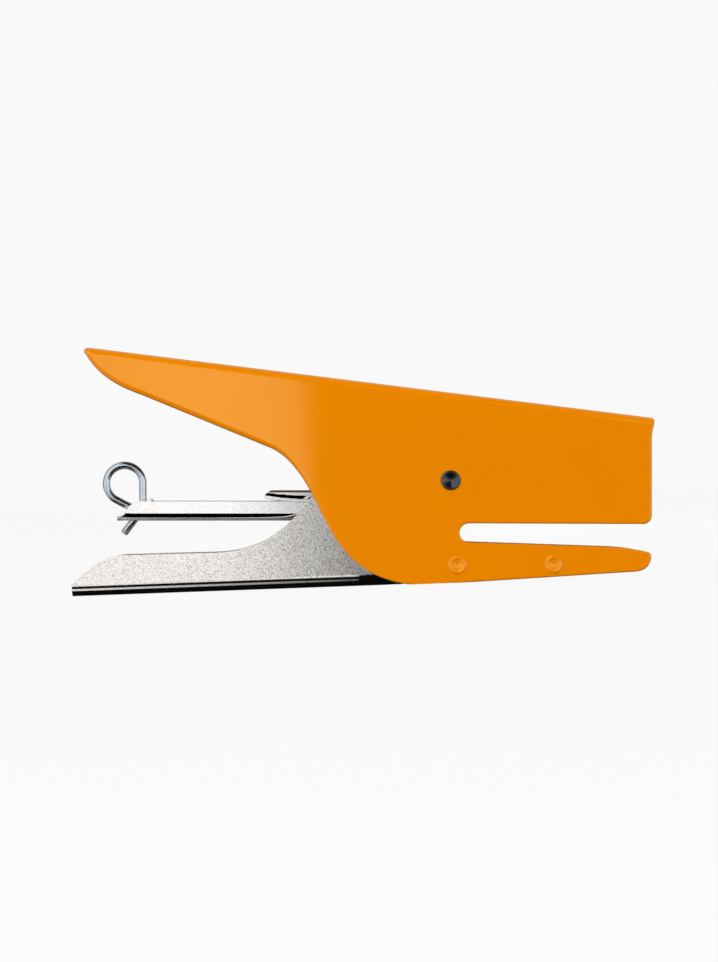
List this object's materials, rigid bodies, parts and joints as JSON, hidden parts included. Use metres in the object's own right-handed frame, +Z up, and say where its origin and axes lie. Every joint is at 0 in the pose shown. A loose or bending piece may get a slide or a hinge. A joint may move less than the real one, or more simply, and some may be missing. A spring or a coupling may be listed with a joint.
{
  "type": "plier stapler",
  "caption": "Hand-held plier stapler: folded steel body with mouth slot and lower jaw, nickel squeeze lever, swinging rear-loading magazine and wire rod with a finger ring.",
  "frame": {"origin": "centre of the bounding box's bottom: on the surface it stands on, midway along and across the stapler", "axes": "+X towards the mouth and nose, +Y across to the left-hand side when the mouth faces away from the user, +Z up; the flat bottom of the squeeze lever lies in the plane Z = 0"},
  "size_m": [0.162, 0.0202, 0.0686],
  "materials": {
    "orange_paint": "glossy orange enamel with a light orange peel",
    "nickel_plate": "dull nickel plating over a grainy pickled sheet",
    "black_oxide": "black oxide, lathe-turned",
    "plain_steel": "bare steel, lightly oiled",
    "spring_steel": "dark tempered spring wire",
    "zinc_wire": "bluish zinc plating, bright drawn wire"
  },
  "bodies": {
    "body": {"body_shell": "orange_paint", "anvil_channel": "plain_steel", "anvil_plate": "nickel_plate", "jaw_rivets": "orange_paint", "pivot_pin": "black_oxide", "pivot_bush": "plain_steel", "return_spring": "spring_steel"},
    "lever": {"squeeze_lever": "nickel_plate", "hammer_block": "plain_steel", "hammer_rivets": "plain_steel", "driver_blade": "plain_steel", "driver_rivets": "plain_steel", "hammer_spring": "spring_steel"},
    "magazine": {"magazine_channel": "nickel_plate", "magazine_saddle": "nickel_plate", "saddle_rivets": "nickel_plate", "nose_plate": "nickel_plate", "nose_rivets": "nickel_plate", "staple_strip": "zinc_wire"},
    "rod": {"loading_rod": "zinc_wire", "rod_cap": "zinc_wire", "spring_collar": "zinc_wire", "pusher_spring": "spring_steel"},
    "pusher": {"pusher": "nickel_plate"}
  },
  "joints": [
    {"name": "lever_squeeze", "type": "hinge", "parent": "body", "child": "lever", "pos_m": [0.02436, 0, 0.02827], "axis": [0, 1, 0], "range_deg": [0, 14.9], "stiffness_Nm_per_rad": 1.5, "springref_deg": -20.05, "deforming": ["return_spring", "hammer_spring"]},
    {"name": "magazine_swing", "type": "hinge", "parent": "body", "child": "magazine", "pos_m": [0.02436, 0, 0.02827], "axis": [0, 1, 0], "range_deg": [0, 8.3]},
    {"name": "rod_lift", "type": "hinge", "parent": "magazine", "child": "rod", "pos_m": [0.06881, 0, 0.01805], "axis": [0, 1, 0], "range_deg": [0, 2.6]},
    {"name": "pusher_slide", "type": "slide", "parent": "rod", "child": "pusher", "axis": [-0.9993, 0, 0.0365], "range_m": [0, 0.045], "stiffness_N_per_m": 40, "springref_m": -0.06, "deforming": ["pusher_spring"]}
  ],
  "couplings": [
    {"joint": "magazine_swing", "follows": "lever_squeeze", "ratio": 0.557}
  ]
}
